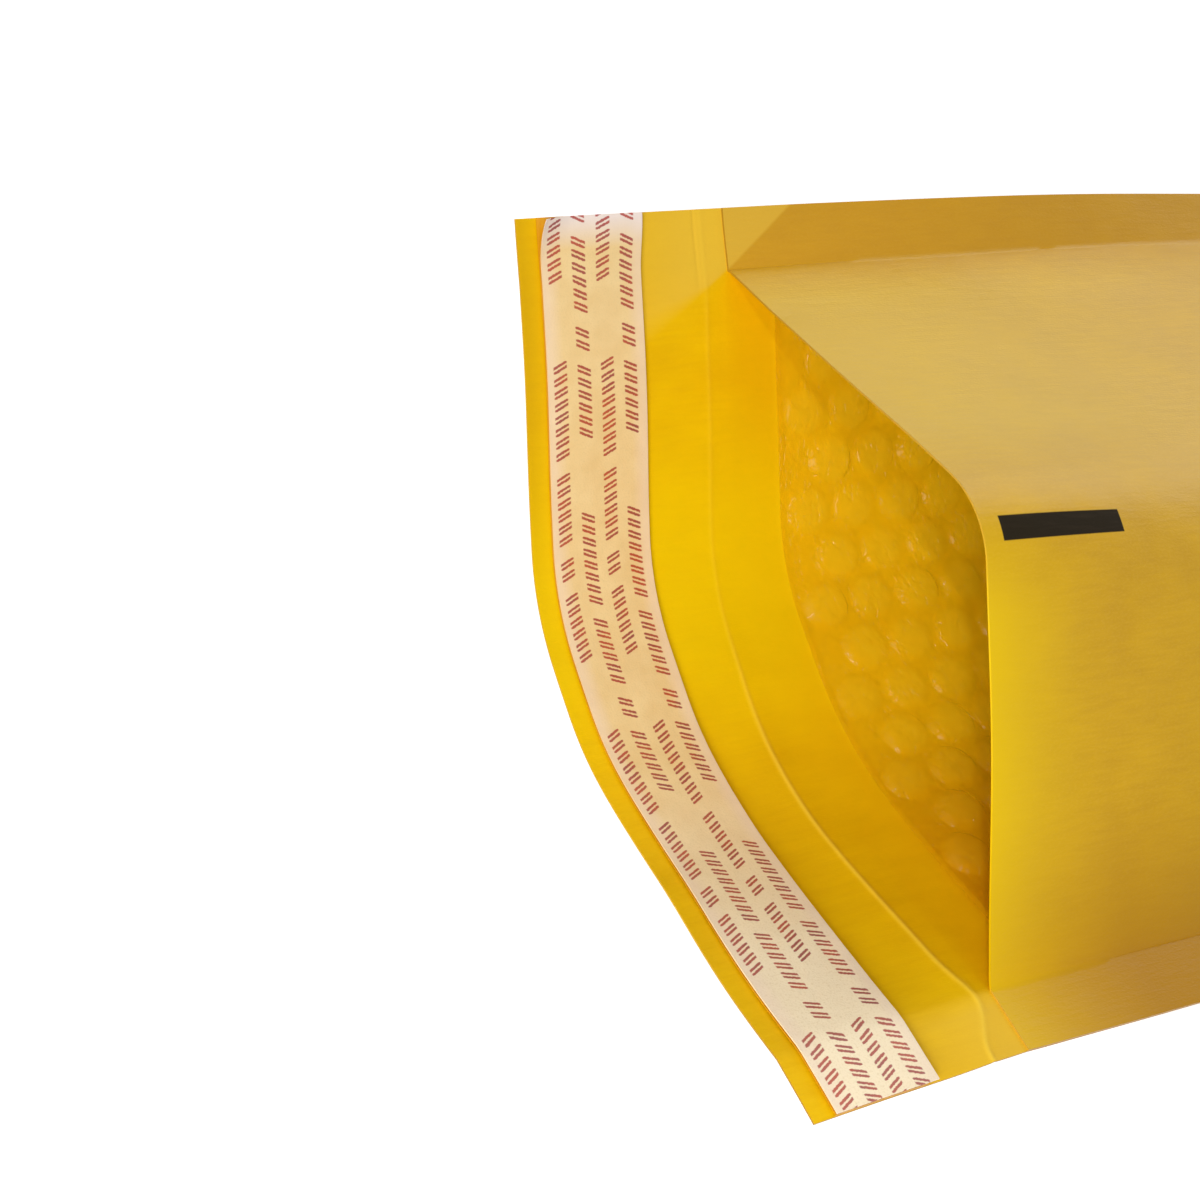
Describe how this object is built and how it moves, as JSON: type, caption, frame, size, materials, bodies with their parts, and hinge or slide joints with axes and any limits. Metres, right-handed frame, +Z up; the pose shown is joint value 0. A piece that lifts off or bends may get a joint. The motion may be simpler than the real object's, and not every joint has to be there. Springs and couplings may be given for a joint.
{
  "type": "padded envelope",
  "caption": "Open padded envelope of kraft paper lined with air-bubble film, with a flap and a peel-off strip over its adhesive.",
  "frame": {"origin": "on the surface that the envelope lies on, under the middle of the mouth", "axes": "+X from the mouth towards the closed end, +Y across the mouth, +Z up, away from the surface that it lies on"},
  "size_m": [0.345, 0.184, 0.0693],
  "materials": {
    "kraft_paper": "golden-brown kraft paper, matt with fine fibres and soft creases",
    "bubble_film": "clear air-bubble film over kraft paper, glossy",
    "adhesive": "amber hot-melt adhesive, satin",
    "release_paper": "siliconised release paper, satin, with rows of red tick marks"
  },
  "bodies": {
    "root": {"kraft_wrapper": "kraft_paper", "bubble_liner": "bubble_film", "adhesive_strip": "adhesive", "release_strip": "release_paper"}
  },
  "joints": []
}
